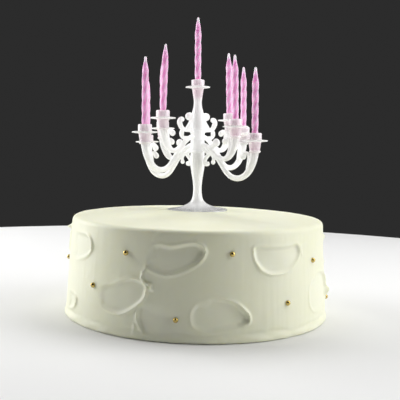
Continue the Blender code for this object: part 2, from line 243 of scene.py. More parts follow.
# Outlines that the spatula leaves: points round each one, as the distance to the right of its
# middle and above it in millimetres, and how strongly the icing is pushed up into a rim there
outlines = {
    "leaf": ((-10.3, 9.7, 0.25), (-3.1, 9.0, 0.25), (5.3, 10.8, 0.45), (10.9, 11.6, 0.5),
             (16.4, 11.5, 0.7), (19.9, 9.9, 1.0), (21.8, 6.8, 1.0), (20.9, 3.0, 1.0),
             (18.9, -0.2, 1.0), (16.2, -3.0, 0.7), (12.2, -5.6, 0.5), (8.1, -7.8, 0.5),
             (3.3, -9.9, 0.6), (-0.9, -11.0, 0.7), (-5.2, -11.6, 0.7), (-9.5, -11.2, 0.6),
             (-13.3, -10.0, 0.4), (-17.0, -8.6, 0.3), (-20.2, -6.0, 0.1), (-21.9, -2.0, 0),
             (-20.9, 3.0, 0), (-16.9, 7.5, 0.05)),
    "shell": ((-8.3, 7.5, 0.2), (-1.9, 9.8, 0.6), (3.3, 11.8, 0.6), (8.3, 13.1, 0.7),
              (13.2, 13.3, 0.7), (17.2, 12.2, 0.7), (20.5, 9.7, 0.7), (21.8, 7.0, 0.8),
              (21.3, 2.7, 0.9), (18.9, -1.8, 0.9), (15.2, -5.3, 0.9), (10.5, -9.1, 1.0),
              (5.7, -11.7, 0.9), (-0.3, -13.3, 0.9), (-6.8, -13.2, 0.5), (-12.8, -12.4, 0.25),
              (-18.3, -9.6, 0.05), (-21.5, -5.0, 0), (-21.9, 0.1, 0), (-18.3, 4.3, 0.05),
              (-13.2, 6.5, 0.1)),
    "egg": ((-20.5, -6.8, 0.5), (-21.4, -2.6, 0.5), (-21.3, 1.6, 0.35), (-19.7, 5.1, 0.2),
            (-16.3, 8.6, 0.1), (-10.8, 11.2, 0.05), (-5.2, 12.2, 0.2), (-1.0, 11.9, 0.4),
            (3.3, 11.1, 0.5), (7.6, 9.7, 0.8), (12.1, 7.4, 1.0), (16.6, 4.1, 1.0),
            (20.1, 0.4, 1.0), (21.4, -3.2, 0.9), (20.3, -6.0, 0.8), (17.6, -7.7, 0.4),
            (13.9, -9.1, 0.15), (8.8, -10.6, 0.1), (3.0, -11.5, 0.1), (-4.1, -12.2, 0.1),
            (-9.7, -12.1, 0.15), (-14.5, -11.5, 0.3), (-18.1, -9.5, 0.4)),
    "bowl": ((-22.0, 9.2, 0.4), (-22.2, 5.0, 0.5), (-21.3, 0.4, 0.6), (-18.9, -3.6, 0.9),
             (-15.7, -6.9, 0.9), (-11.5, -9.1, 0.9), (-6.3, -10.2, 0.8), (0.2, -10.4, 0.8),
             (6.6, -9.8, 0.3), (12.4, -7.6, 0.2), (16.9, -4.0, 0.2), (20.6, 0.1, 0.3),
             (22.2, 4.0, 0.3), (20.2, 9.0, 0.4), (16.4, 10.4, 0.2), (10.3, 9.5, 0.15),
             (3.1, 9.1, 0.15), (-3.5, 9.1, 0.15), (-10.6, 9.5, 0.15), (-17.2, 10.2, 0.15)),
    "wide": ((-17.9, 9.9, 0.2), (-19.3, 4.8, 0.6), (-19.1, 0.6, 0.6), (-16.9, -4.1, 0.5),
             (-13.6, -9.4, 0.4), (-8.2, -12.3, 0.2), (2.8, -12.7, 0.1), (13.3, -11.3, 0),
             (19.4, -6.2, 0), (17.7, 2.8, 0), (9.0, 10.0, 0), (-3.3, 12.7, 0),
             (-12.2, 12.6, 0.05)),
    "half": ((-15.5, 9.8, 0.1), (-3.6, 10.8, 0.2), (5.4, 10.8, 0.5), (11.8, 8.5, 0.9),
             (15.5, 4.5, 1.0), (15.4, 0.4, 1.0), (11.7, -3.7, 0.8), (4.8, -7.0, 0.5),
             (-4.0, -9.5, 0.3), (-13.2, -10.8, 0.1), (-18.0, -6.0, 0), (-19.5, 2.0, 0)),
}
# Each stroke: its outline, where it is (degrees from the front, right is positive, and height),
# its turn and size, how deep it is pressed, and the side on which it is deepest (0 right, 90 up)
strokeFields = ("outline", "angle", "height", "turn", "size", "depth", "deep")
strokes = [dict(zip(strokeFields, row)) for row in (
    ("leaf", -8.9, 58.5, 0, 1.0, 1.9, 40),
    ("half", -57.2, 58.4, 0, 1.0, 1.7, 0),
    ("shell", -31.2, 29.5, 0, 1.0, 1.8, 30),
    ("egg", 9.7, 20.2, 0, 1.0, 2.0, 5),
    ("wide", -12.6, 14.0, 0, 1.0, 1.0, 160),
    ("bowl", 35.0, 57.7, 0, 1.0, 1.6, 110),
    ("egg", 68.0, 27.5, -4, 1.25, 1.5, 20),
    ("half", -64.0, 15.2, 0, 0.62, 1.5, 0),
    ("leaf", 88.0, 57.0, 5, 0.95, 1.7, 30),
    ("bowl", -100.0, 56.0, 12, 1.0, 1.6, 110),
    ("egg", -104.0, 22.0, 8, 0.98, 1.9, 10),
    ("leaf", -138.0, 38.0, 14, 1.05, 1.8, 40),
    ("shell", -160.0, 58.0, -8, 0.85, 1.7, 30),
    ("half", -172.0, 17.0, 170, 1.0, 1.7, 0),
    ("shell", 106.0, 25.0, 6, 1.0, 1.8, 30),
    ("bowl", 131.0, 56.0, -9, 1.0, 1.6, 110),
    ("leaf", 149.0, 21.0, -5, 0.95, 1.8, 40),
    ("egg", 176.0, 40.0, -12, 0.95, 1.9, 5),
)]
strokeEdges = {
    "rim": 1.3,                 # height of the strongest rim
    "inner": 0.75,              # width of a rim, towards the stroke and away from it
    "outer": 0.95,
    "wall": 3.2,                # how far in a stroke takes to reach its depth
    "fading": 3.0,              # how many times wider that is where there is no rim
    "steps": 4,                 # from each point of an outline to the next
    "reach": (34, 24),          # farthest that a stroke is felt from its middle
    "swell": (0.15, 4.0),       # height, as a share of the rim, and width of the swell round it
    "faint": 0.12,              # a rim weaker than this fades out
    "leanAcross": 40,           # distance over which a stroke leans from shallow to deep
    "shallow": 0.3,             # share of the depth on the shallow side
    "sway": 0.5,                # how far the outline wanders
    "swayRise": 0.25,
}

# Small ridges that the spatula left between the strokes: start and end (angle, height), the
# height of the ridge and its width
smears = [dict(zip(("start", "end", "rise", "width"), row)) for row in (
    ((-15.2, 76.5), (-17.4, 71.5), 0.5, 0.8),
    ((-20.0, 51.5), (-21.3, 48.0), 0.8, 0.75),
    ((-21.3, 48.0), (-21.5, 44.0), 1.0, 0.8),
    ((-21.5, 44.0), (-20.3, 41.0), 1.1, 0.9),
    ((-20.3, 41.0), (-17.9, 39.6), 1.4, 0.9),
    ((-17.9, 39.6), (-17.2, 36.4), 2.0, 0.9),
    ((-18.9, 37.4), (-18.3, 36.0), 1.2, 0.7),
    ((-23.7, 10.5), (-24.5, 2.0), 0.6, 0.9),
    ((-78.0, 66.0), (-80.0, 52.0), 1.2, 1.5),
    ((47.5, 66.0), (48.5, 59.0), 0.7, 0.8),
    ((-122.0, 44.0), (-118.0, 38.0), 0.8, 1.0),
    ((120.0, 40.0), (124.0, 46.0), 0.8, 0.9),
    ((160.0, 70.0), (157.0, 64.5), 0.6, 0.9),
)]
# Pulled-up tips of icing and small holes: angle, height, how far it stands out and its width
tips = ((-82.0, 69.5, 3.6, 1.7), (81.0, 66.5, 1.7, 2.0), (82.0, 23.0, 3.0, 3.4),
        (-19.7, 37.4, -1.0, 0.9), (142.0, 40.0, 1.6, 1.6))


def roundedOutline(points):
    steps = strokeEdges["steps"]
    line = easedLine([*points[-2:], *points, *points[:2]], steps)
    return np.array(line[2 * steps:(2 + len(points)) * steps])


def strokeRelief(arc, rise, stroke):
    # height of the icing round one stroke, and how much each point is pressed
    start = roundedOutline(outlines[stroke["outline"]])
    end = np.roll(start, -1, 0)
    edge = end[:, :2] - start[:, :2]
    turn = math.radians(stroke["turn"])
    u = (arc * math.cos(turn) + rise * math.sin(turn)) / stroke["size"]
    v = (rise * math.cos(turn) - arc * math.sin(turn)) / stroke["size"]
    offset = np.stack([u, v], 1)[:, None] - start[:, :2]
    share = np.clip((offset * edge).sum(2) / (edge ** 2).sum(1), 0, 1)
    away = np.linalg.norm(offset - share[..., None] * edge, axis=2)
    rows, nearest = np.arange(len(u)), away.argmin(1)
    share = share[rows, nearest]
    strength = start[nearest, 2] * (1 - share) + end[nearest, 2] * share
    crossed = (start[:, 1] > v[:, None]) != (end[:, 1] > v[:, None])
    slope = edge[:, 0] / np.where(edge[:, 1] == 0, 1, edge[:, 1])
    crossed &= u[:, None] < start[:, 0] + (v[:, None] - start[:, 1]) * slope
    inside = crossed.sum(1) % 2 == 1
    out = np.where(inside, -1, 1) * away[rows, nearest] * stroke["size"]
    width = np.where(inside, strokeEdges["inner"], strokeEdges["outer"])
    swell, swellWidth = strokeEdges["swell"]
    rim = strokeEdges["rim"] * strength * (np.exp(-(out / width) ** 2)
                                           + swell * np.exp(-(out / swellWidth) ** 2))
    clear = np.clip(strength / strokeEdges["faint"], 0, 1)
    fading = 1 + (strokeEdges["fading"] - 1) * (1 - clear)
    deep = math.radians(stroke["deep"])
    across = (u * math.cos(deep) + v * math.sin(deep)) / strokeEdges["leanAcross"]
    lean = np.clip(0.5 + across, 0, 1)
    dish = -stroke["depth"] * easeStep(-out / (strokeEdges["wall"] * fading))
    shallow = strokeEdges["shallow"]
    return rim + dish * (shallow + (1 - shallow) * lean), easeStep(-out / (2 * fading))


def sideRelief(angle, height, radius):
    # how far the icing stands out, in millimetres, and how much each point was pressed
    total = np.zeros_like(angle)
    pressed = np.zeros_like(angle)
    turn = np.radians(angle)
    spots = np.stack([radius * np.sin(turn), -radius * np.cos(turn), height], 1)
    wobble = roughness3d(spots, 13, 1)
    for stroke in strokes:
        arc = np.radians((angle - stroke["angle"] + 180) % 360 - 180) * radius
        rise = height - stroke["height"]
        wide, high = strokeEdges["reach"]
        near = np.hypot(arc / wide, rise / high) < math.sqrt(2) * stroke["size"]
        sway = strokeEdges["sway"] * wobble[near]
        relief, inside = strokeRelief(arc[near] + sway, rise[near] + sway, stroke)
        total[near] += relief * (1 + strokeEdges["swayRise"] * wobble[near])
        pressed[near] = np.maximum(pressed[near], inside)
    for smear in smears:
        startArc = np.radians((angle - smear["start"][0] + 180) % 360 - 180) * radius
        startRise = height - smear["start"][1]
        alongArc = math.radians(smear["end"][0] - smear["start"][0]) * radius
        alongRise = smear["end"][1] - smear["start"][1]
        share = (startArc * alongArc + startRise * alongRise) / (alongArc ** 2 + alongRise ** 2)
        share = np.clip(share, 0, 1)
        away = np.hypot(startArc - share * alongArc, startRise - share * alongRise)
        total += smear["rise"] * np.exp(-(away / smear["width"]) ** 2)
    for tipAngle, tipHeight, rise, width in tips:
        arc = np.radians((angle - tipAngle + 180) % 360 - 180) * radius
        away = np.hypot(arc, (height - tipHeight) * 1.1)
        total += rise * np.exp(-(away / width) ** 2)
    marks = roughness3d(np.stack([spots[:, 0], spots[:, 1], height * 0.06], 1), 4.5, 2)
    marks += 0.6 * roughness3d(np.stack([spots[:, 0], spots[:, 1], height * 0.05], 1), 1.8, 3)
    total += icingSizes["scraperMarks"] * marks * (1 - 0.8 * pressed)
    total += icingSizes["waviness"] * roughness3d(spots, 38, 4)
    fade = easeStep((icingSizes["edgeHeight"] - height) / 6)
    foot = easeStep((height - 1) / 7)
    lumps = 0.6 + 0.9 * roughness3d(spots, 17, 5) + 0.5 * roughness3d(spots, 6, 6)
    skirt = icingSizes["skirt"] * np.exp(-((height - 2.2) / 2.6) ** 2) * np.clip(lumps, 0, 1.4)
    crease = -0.55 * np.exp(-((height - 6.2 - 2 * wobble) / 1.3) ** 2) * np.clip(lumps, 0, 1)
    return total * fade * foot + skirt + crease, pressed * fade * foot


def icingProfile():
    top, edge = icingSizes["topRadius"], icingSizes["edgeHeight"]
    rounding, rows = icingSizes["edgeRounding"], icingSizes["rows"]
    low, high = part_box("cake")
    base = (high.x - low.x) / 2 / mm
    inner = top - rounding
    profile = [(0, 0), (base * 0.6, 0), (base - 1.2, 0), (base - 0.35, 0.3)]
    for row in range(1, rows):
        share = row / rows
        profile.append((base + (top - base) * share, (edge - rounding) * share))
    for step in range(10):
        turn = math.radians(step * 9.2)
        profile.append((inner + rounding * math.cos(turn), edge - rounding * (1 - math.sin(turn))))
    rings = (97, 93, 88, 82, 75, 67, 59, 51, 44, 38, 34, *range(32, 17, -1), 14, 10, 5, 0)
    for ring in rings:
        profile.append((ring, edge + icingSizes["crown"] * (1 - (ring / inner) ** 2)))
    return profile


candelabra = {
    "seat": (-0.8, 5.75, 84.0),     # middle of the foot's rim
    "lean": -1.24,                  # degrees, so that the top leans to the left
    "footRadius": 25.0,
    "footSink": 0.9,                # depth of the foot's underside below the seat
    "hubRadius": 5.85,
    "dent": (25.4, 0.25),           # the icing under the foot: how wide, and how far below it
    "lip": (26.6, 0.35, 0.9),       # icing pushed up round the foot: where, how high, how wide
}
seatPlace = (Matrix.Translation(Vector(candelabra["seat"]) * mm)
             @ Matrix.Rotation(math.radians(candelabra["lean"]), 4, 'Y'))


def makeIcing():
    cake = turnedPiece("icedCake", icingProfile(), icingSizes["columns"])
    points = readPoints(cake) / mm
    x, y, z = points.T
    radius = np.hypot(x, y)
    side = radius > icingSizes["topRadius"] - icingSizes["edgeRounding"]
    side &= z > 0.01
    angle = np.degrees(np.arctan2(x[side], -y[side]))
    push, pressedSide = sideRelief(angle, z[side], radius[side])
    pressed = np.zeros(len(points))
    pressed[side] = pressedSide
    points[side, :2] *= (1 + push / radius[side])[:, None]

    # the top is spread nearly flat, and pressed down under the foot of the candelabra
    top = (z > icingSizes["edgeHeight"] - 2) & (radius < icingSizes["topRadius"])
    spots = points[top] * (1, 1, 0)
    points[top, 2] += 0.22 * roughness3d(spots, 34, 7) + 0.1 * roughness3d(spots, 9, 8)
    inSeat = np.array(seatPlace.inverted())
    local = points[top] * mm @ inSeat[:3, :3].T + inSeat[:3, 3]
    away = np.hypot(local[:, 0], local[:, 1]) / mm
    dentRadius, dentDepth = candelabra["dent"]
    lipRadius, lipHeight, lipWidth = candelabra["lip"]
    floor = -candelabra["footSink"] - dentDepth
    lip = lipHeight * np.exp(-((away - lipRadius) / lipWidth) ** 2)
    height = local[:, 2] / mm
    dip = np.where(away < dentRadius, np.minimum(height, floor), height + lip)
    points[top, 2] += dip - height
    writePoints(cake, points * mm)
    paintPoints(cake, "pressed", pressed)
    smoothShaded(cake, 60)
    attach(cake, "root")
    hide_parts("cake")
    print("icing done,", len(points), "points")
    return cake


cake = makeIcing()


goldBalls = {
    "radius": 1.95,
    "sunk": 0.8,                # depth of a ball's middle inside the icing, as a share of a radius
    "narrowFrom": -0.7,         # below this share of the radius a ball is drawn in
    "narrowing": 0.9,
    "front": ((-29.1, 60.3), (-45.9, 33.2), (-7.4, 16.3), (13.8, 62.8), (57.4, 53.3),
              (39.0, 25.6), (-82.0, 44.5), (82.0, 17.3), (-99.0, 27.0), (98.0, 45.0)),
    "back": ((104.0, 62.5), (112.0, 42.0), (128.0, 17.0), (146.0, 66.0), (160.0, 44.5),
             (-172.0, 63.0), (-178.0, 24.0), (-155.0, 40.0), (-136.0, 58.5), (-128.0, 16.0),
             (-112.0, 41.0), (-92.0, 66.0)),
}


def makeGoldBalls():
    spots = np.array(goldBalls["front"] + goldBalls["back"])
    low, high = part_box("cake")
    base = (high.x - low.x) / 2 / mm
    slope = (icingSizes["topRadius"] - base) / (icingSizes["edgeHeight"]
                                                - icingSizes["edgeRounding"])
    skin = base + slope * spots[:, 1]
    push, _ = sideRelief(spots[:, 0], spots[:, 1], skin)
    radius = goldBalls["radius"]
    balls = []
    for (angle, height), distance in zip(spots, skin + push):
        deselectAll()
        bpy.ops.mesh.primitive_uv_sphere_add(segments=20, ring_count=12, radius=radius * mm)
        ball = bpy.context.object
        # the end that sits in the icing is drawn in a little, as on a rolled sugar ball
        lowest = goldBalls["narrowFrom"] * radius * mm
        pickPoints(ball, lambda index, point: point.co.z < lowest)
        narrowing = goldBalls["narrowing"]
        bpy.ops.transform.resize(value=(narrowing, narrowing, 1), center_override=(0, 0, 0))
        bpy.ops.object.mode_set(mode='OBJECT')
        turn = math.radians(angle)
        outward = Vector((math.sin(turn), -math.cos(turn), 0))
        middle = outward * (distance + radius * (1 - goldBalls["sunk"])) * mm
        middle.z = height * mm
        facing = outward.to_track_quat('Z', 'Y').to_matrix().to_4x4()
        place(ball, Matrix.Translation(middle) @ facing)
        balls.append(ball)
    whole = joined("goldSugarBalls", balls)
    selectOnly(whole)
    bpy.ops.object.shade_smooth()
    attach(whole, "root")
    print("gold balls done,", len(balls))
    return whole


sugarBalls = makeGoldBalls()


column = {
    "standTop": 49.3,
    "lowerHub": (49.4, 57.3),
    "upperHub": (57.4, 65.6),
    "topFoot": 65.7,
    "middlePan": 101.3,
    "turnedSides": 72,
}
socket = {
    "pan": 10.2,
    "cup": 5.4,
    "bore": 2.85,
    "cupRise": 6.1,             # from the pan's middle to the mouth
    "boreDepth": 13.7,
    "short": (40.2, 68.1),      # distance from the column and height of the pan
    "long": (59.45, 56.7),
    "turnedSides": 48,
}


def cupLine(pan):
    # from the bottom of the candle's hole, over the cup's lip and the pan, to the pan's underside
    bore, cup, wide = socket["bore"], socket["cup"], socket["pan"]
    mouth = pan + socket["cupRise"]
    line = [(0, mouth - socket["boreDepth"]), (bore, mouth - socket["boreDepth"]),
            (bore, mouth - 0.9)]
    line += [(bore + 0.15, mouth - 0.35), (bore + 0.6, mouth), (cup - 0.7, mouth),
             (cup - 0.25, mouth - 0.25), (cup, mouth - 0.8), (cup - 0.05, pan + 1.5),
             (cup + 0.15, pan + 1.05), (cup + 0.6, pan + 0.85)]
    line += [(wide - 1.0, pan + 0.6), (wide - 0.25, pan + 0.42), (wide, pan + 0.1),
             (wide, pan - 0.15), (wide - 0.3, pan - 0.45), (wide - 1.2, pan - 0.6)]
    line += [(5.6, pan - 0.95), (4.95, pan - 1.3)]
    return line


def makeStand():
    top = column["standTop"]
    foot = candelabra["footRadius"]
    under = -candelabra["footSink"]
    line = [(0, under), (foot - 0.5, under), (foot - 0.1, under + 0.15), (foot, under + 0.4),
            (foot, 0.0), (foot - 0.25, 0.28)]
    line += easedLine([(foot - 1.2, 0.42), (20.5, 0.95), (15.6, 1.9), (10.6, 3.6), (7.0, 5.6),
                       (4.9, 8.2), (3.85, 12.0), (3.5, 16.5), (3.6, 20.0), (4.05, 24.6),
                       (4.95, 30.0), (5.75, 35.5), (5.95, 40.0), (5.85, 46.6)], 4)
    line += easedLine([(5.75, 47.2), (6.2, 47.7), (6.25, 48.2), (5.8, 48.7), (5.85, 49.0),
                       (5.65, top)], 2)
    line.append((0, top))
    stand = turnedPiece("candelabraStand", line, column["turnedSides"])
    place(stand, seatPlace)
    smoothShaded(stand, 50)
    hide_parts("candelabra_stand")
    return stand


def makeColumnTop():
    pan = column["middlePan"]
    line = cupLine(pan)
    line += easedLine([(4.6, pan - 2.6), (3.95, pan - 6.8), (3.35, pan - 11.6),
                       (3.5, pan - 15.8), (4.4, pan - 19.4), (5.3, pan - 23.0),
                       (5.85, pan - 28.0), (5.9, pan - 34.4)], 5)
    line += [(5.85, column["topFoot"] + 0.2), (5.65, column["topFoot"]), (0, column["topFoot"])]
    top = turnedPiece("candelabraTop", line, column["turnedSides"])
    place(top, seatPlace)
    smoothShaded(top, 50)
    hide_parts("column_top")
    return top


armSide = {
    "longArm": [(4.5, 54.0, 2.0), (7.6, 53.5, 1.95), (10.6, 52.3, 1.95), (13.2, 50.7, 2.0),
                (15.8, 48.8, 2.05), (19.4, 45.4, 2.1), (23.0, 41.5, 2.15), (26.9, 36.6, 2.2),
                (31.8, 31.0, 2.25), (36.8, 27.9, 2.3), (42.4, 27.1, 2.35), (47.6, 28.3, 2.45),
                (52.6, 31.8, 2.7), (56.4, 37.6, 3.0), (58.5, 44.0, 3.35), (59.3, 48.6, 3.5)],
    "shortArm": [(18.0, 46.8, 1.6), (21.0, 45.2, 1.8), (24.2, 43.4, 1.9), (27.6, 42.3, 2.0),
                 (32.4, 43.1, 2.1), (36.3, 46.7, 2.4), (38.8, 51.8, 2.8), (39.9, 57.4, 3.3),
                 (40.1, 59.9, 3.5)],
    # each arm's curl rises along its inner side and ends below its pan, measured from the pan
    "longCurl": [(-7.5, -25.5, 1.2), (-6.8, -21.0, 1.6), (-5.8, -16.5, 1.7), (-5.4, -12.9, 1.7),
                 (-6.6, -10.4, 1.6), (-9.0, -9.6, 1.6), (-11.0, -10.6, 1.7)],
    "longKnob": (-11.3, -12.2, 2.6),
    "shortCurl": [(-11.7, -25.6, 1.4), (-8.6, -23.6, 1.6), (-6.6, -20.3, 1.6),
                  (-5.5, -16.1, 1.6), (-5.3, -12.6, 1.6), (-6.2, -10.2, 1.6), (-8.4, -9.6, 1.6),
                  (-10.6, -10.4, 1.7)],
    "shortKnob": (-10.9, -11.6, 2.6),
}
upperScrolls = {
    "rods": ([(5.2, 62.2, 1.6), (7.3, 65.0, 1.7), (8.0, 69.0, 1.7), (8.0, 73.0, 1.7),
              (7.8, 76.4, 2.0), (9.0, 78.0, 2.4), (10.6, 77.6, 2.6)],
             [(8.2, 74.0, 1.5), (8.8, 71.4, 1.9), (10.8, 68.8, 2.0), (13.0, 66.6, 1.8)],
             [(5.0, 64.6, 1.5), (10.5, 65.6, 1.4), (15.5, 66.1, 1.6), (19.0, 67.8, 2.0),
              (20.9, 70.6, 2.2), (21.3, 72.8, 2.15), (20.2, 74.5, 2.0), (18.6, 74.7, 2.0)],
             [(9.6, 59.2, 1.8), (13.8, 59.3, 1.8), (17.0, 59.6, 1.6), (18.8, 61.4, 1.8),
              (19.0, 63.4, 2.0), (18.4, 65.8, 1.6), (18.8, 67.8, 1.7)]),
    "knobs": ((10.8, 77.0, 3.2), (18.4, 74.5, 2.1)),
    "hub": "upperHub",
    "rise": 6.85,               # the upper frame's arms sit this much above the lower one's
    "turn": 47.0,               # degrees round the column, from the right
    "tilt": 0.0,
    "replaces": "upper_arm_frame",
}
lowerScrolls = {
    "rods": ([(5.2, 50.8, 1.4), (7.4, 49.8, 1.5), (9.4, 48.7, 1.6)],
             [(9.4, 48.4, 1.6), (11.4, 47.3, 1.5), (13.6, 46.6, 1.6), (15.9, 45.7, 1.7),
              (17.8, 43.6, 1.8), (18.0, 41.4, 1.9)],
             [(13.4, 46.6, 1.5), (10.8, 44.6, 1.7), (8.6, 42.2, 1.7), (8.0, 39.6, 1.6),
              (8.8, 37.9, 1.6), (10.4, 37.6, 1.6)],
             [(13.5, 50.8, 1.8), (16.6, 52.4, 2.0), (19.5, 54.6, 2.2)]),
    "knobs": ((9.4, 48.7, 1.7), (17.0, 39.6, 2.0), (11.0, 38.2, 2.0), (20.2, 55.5, 3.4)),
    "hub": "lowerHub",
    "rise": 0.0,
    "turn": -41.3,
    "tilt": -0.5,               # degrees: its rear left side sits a little low
    "replaces": "lower_arm_frame",
}
tiltHeight = 53.0               # a frame tilts about this height
moulding = {"voxel": 0.36, "soften": 0.5, "softenRounds": 5}


def makeArmSide():
    # the long and the short arm on one side of a frame, each with its curl
    rods = [rodPiece("longArm", armSide["longArm"]), rodPiece("shortArm", armSide["shortArm"])]
    for arm in ("short", "long"):
        distance, pan = socket[arm]
        path = [(distance + x, pan + z, radius) for x, z, radius in armSide[arm + "Curl"]]
        rods.append(rodPiece("curl", path))
        x, z, radius = armSide[arm + "Knob"]
        rods.append(knobPiece("curlEnd", distance + x, pan + z, radius))
    return joined("armSide", rods)


def makeSockets(rise):
    cups = []
    for distance, pan in (socket["short"], socket["long"]):
        line = cupLine(pan)
        line += easedLine([(4.7, pan - 2.4), (4.35, pan - 5.0), (4.0, pan - 7.4),
                           (4.45, pan - 7.9), (4.6, pan - 8.4), (4.3, pan - 8.9),
                           (3.7, pan - 9.4)], 2)
        line.append((0, pan - 9.9))
        cup = turnedPiece("socket", line, socket["turnedSides"])
        place(cup, Matrix.Translation((distance * mm, 0, rise * mm)))
        twin = copyOf(cup, "socketTwin")
        place(twin, Matrix.Rotation(math.pi, 4, 'Z'))
        cups += [cup, twin]
    return cups


def makeHub(span):
    bottom, top = span
    wide = candelabra["hubRadius"]
    line = [(0, bottom), (wide - 0.2, bottom), (wide, bottom + 0.2), (wide + 0.25, bottom + 0.5),
            (wide + 0.25, bottom + 0.9), (wide, bottom + 1.3), (wide + 0.05, (bottom + top) / 2),
            (wide, top - 0.2), (wide - 0.2, top), (0, top)]
    return turnedPiece("hub", line, column["turnedSides"])


def makeArmFrame(name, side, scrolls):
    arms = copyOf(side, "arms")
    place(arms, Matrix.Translation((0, 0, scrolls["rise"] * mm)))
    rods = [rodPiece("scroll", path) for path in scrolls["rods"]]
    rods += [knobPiece("scrollEnd", *knob) for knob in scrolls["knobs"]]
    half = joined("half", [arms, *rods])
    twin = copyOf(half, "otherHalf")
    place(twin, Matrix.Rotation(math.pi, 4, 'Z'))
    armFrame = joined(name, [half, twin])
    # one moulding: the rods grow together with small fillets
    applyModifier(armFrame, 'REMESH', mode='VOXEL', voxel_size=moulding["voxel"] * mm)
    applyModifier(armFrame, 'SMOOTH', factor=moulding["soften"],
                  iterations=moulding["softenRounds"])
    unite(armFrame, joined("turned", [*makeSockets(scrolls["rise"]),
                                      makeHub(column[scrolls["hub"]])]))
    pivot = Matrix.Translation((0, 0, tiltHeight * mm))
    place(armFrame, seatPlace @ Matrix.Rotation(math.radians(scrolls["turn"]), 4, 'Z')
          @ pivot @ Matrix.Rotation(math.radians(scrolls["tilt"]), 4, 'Y') @ pivot.inverted())
    smoothShaded(armFrame, 38)
    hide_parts(scrolls["replaces"])
    print(name, "done,", len(armFrame.data.polygons), "faces")
    return armFrame


armsPattern = makeArmSide()
plasticPieces = [makeStand(), makeColumnTop(),
                 makeArmFrame("lowerArms", armsPattern, lowerScrolls),
                 makeArmFrame("upperArms", armsPattern, upperScrolls)]
bpy.data.objects.remove(armsPattern)
for piece in plasticPieces:
    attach(piece, "root")
print("candelabra done")


candleShape = {
    "lobe": 2.82,               # the corners of the outline before it is rounded
    "valley": 0.82,             # how far in the hollows between the lobes are drawn
    "lobes": 4,
    "lobeCorners": 3,           # two on each lobe and one in the hollow beside it
    "step": 2.0,                # height between rings
    "turn": 18.0,               # degrees that each ring is turned past the one below
    "foot": 0.86,
    "footEdge": (0.6, 0.90),    # height and size of the ring above the foot
    "held": 0.92,               # narrower where a socket holds it, up to this height
    "heldHeight": 13.5,
    "shoulder": 50.0,           # where the taper starts
    "taper": ((51.6, 0.99), (53.5, 0.93), (56.0, 0.76), (58.0, 0.62), (59.5, 0.50),
              (61.0, 0.42), (62.9, 0.37), (63.6, 0.20)),
    "length": 63.5,
    "endDepth": 0.6,            # how far the points of an end reach from it
    "spin": 37,                 # degrees that each candle is turned past the one before
}


def candleEnds(node):
    # the middle of the foot and of the tip of a candle's solid
    points = np.unique(np.round(readPoints(node), 6), axis=0)
    low, high = points[:, 2].min(), points[:, 2].max()
    foot = points[points[:, 2] < low + candleShape["endDepth"] * mm].mean(0)
    tip = points[points[:, 2] > high - candleShape["endDepth"] * mm].mean(0)
    return Vector(foot), Vector(tip)


def makeCandlePattern():
    lobe, corners = candleShape["lobe"], candleShape["lobeCorners"] * candleShape["lobes"]
    deselectAll()
    bpy.ops.mesh.primitive_circle_add(vertices=corners, radius=lobe * mm, fill_type='NGON')
    candle = bpy.context.object
    candle.name = "candlePattern"
    pickPoints(candle, lambda index, point: index % candleShape["lobeCorners"] == 0)
    bpy.ops.transform.resize(value=(candleShape["valley"],) * 3, center_override=(0, 0, 0))
    bpy.ops.mesh.select_all(action='SELECT')
    height, size = 0.0, candleShape["foot"]
    bpy.ops.transform.resize(value=(size, size, 1), center_override=(0, 0, 0))
    rings = [candleShape["footEdge"]]
    count = round(candleShape["shoulder"] / candleShape["step"])
    for ring in range(1, count + 1):
        newHeight = ring * candleShape["step"]
        held = newHeight < candleShape["heldHeight"]
        rings.append((newHeight, candleShape["held"] if held else 1.0))
    rings += candleShape["taper"]
    for newHeight, newSize in rings:
        rise = newHeight - height
        bpy.ops.mesh.extrude_region_move(TRANSFORM_OT_translate={"value": (0, 0, rise * mm)})
        turn = -math.radians(candleShape["turn"] * rise / candleShape["step"])
        bpy.ops.transform.rotate(value=turn, orient_axis='Z', center_override=(0, 0, 0))
        bpy.ops.transform.resize(value=(newSize / size, newSize / size, 1),
                                 center_override=(0, 0, 0))
        height, size = newHeight, newSize
    bpy.ops.mesh.select_all(action='SELECT')
    bpy.ops.mesh.normals_make_consistent(inside=False)
    bpy.ops.object.mode_set(mode='OBJECT')
    applyModifier(candle, 'SUBSURF', levels=2, render_levels=2)
    points = readPoints(candle) / mm
    paintPoints(candle, "up", points[:, 2] / candleShape["length"])
    paintPoints(candle, "lobed", np.hypot(points[:, 0], points[:, 1]) / lobe)
    selectOnly(candle)
    bpy.ops.object.shade_smooth()
    return candle


def makeCandles():
    pattern = makeCandlePattern()
    candles = []
    names = sorted(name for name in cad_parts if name.startswith("candle_"))
    for index, name in enumerate(names):
        foot, tip = candleEnds(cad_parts[name])
        upright = (tip - foot).to_track_quat('Z', 'Y').to_matrix().to_4x4()
        spin = Matrix.Rotation(math.radians(candleShape["spin"] * index), 4, 'Z')
        parts = name.split("_")[1:]
        candle = copyOf(pattern, "candle" + "".join(part.title() for part in parts))
        place(candle, Matrix.Translation(foot) @ upright @ spin)
        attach(candle, "root")
        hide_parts(name)
        candles.append(candle)
    bpy.data.objects.remove(pattern)
    print("candles done,", len(candles))
    return candles


candles = makeCandles()


# painted light: where a candle's pink shows through its socket: heights run up from the candle's
# foot
candleLight = {"radius": 6.2, "below": 4, "top": 14, "fade": 1.5}
# painted light on the thick hubs, for side light going through them; heights run up from the middle
# candle's foot
hubLight = {"middle": -37, "halfHeight": 11, "radius": 8.5, "fade": 2.5}


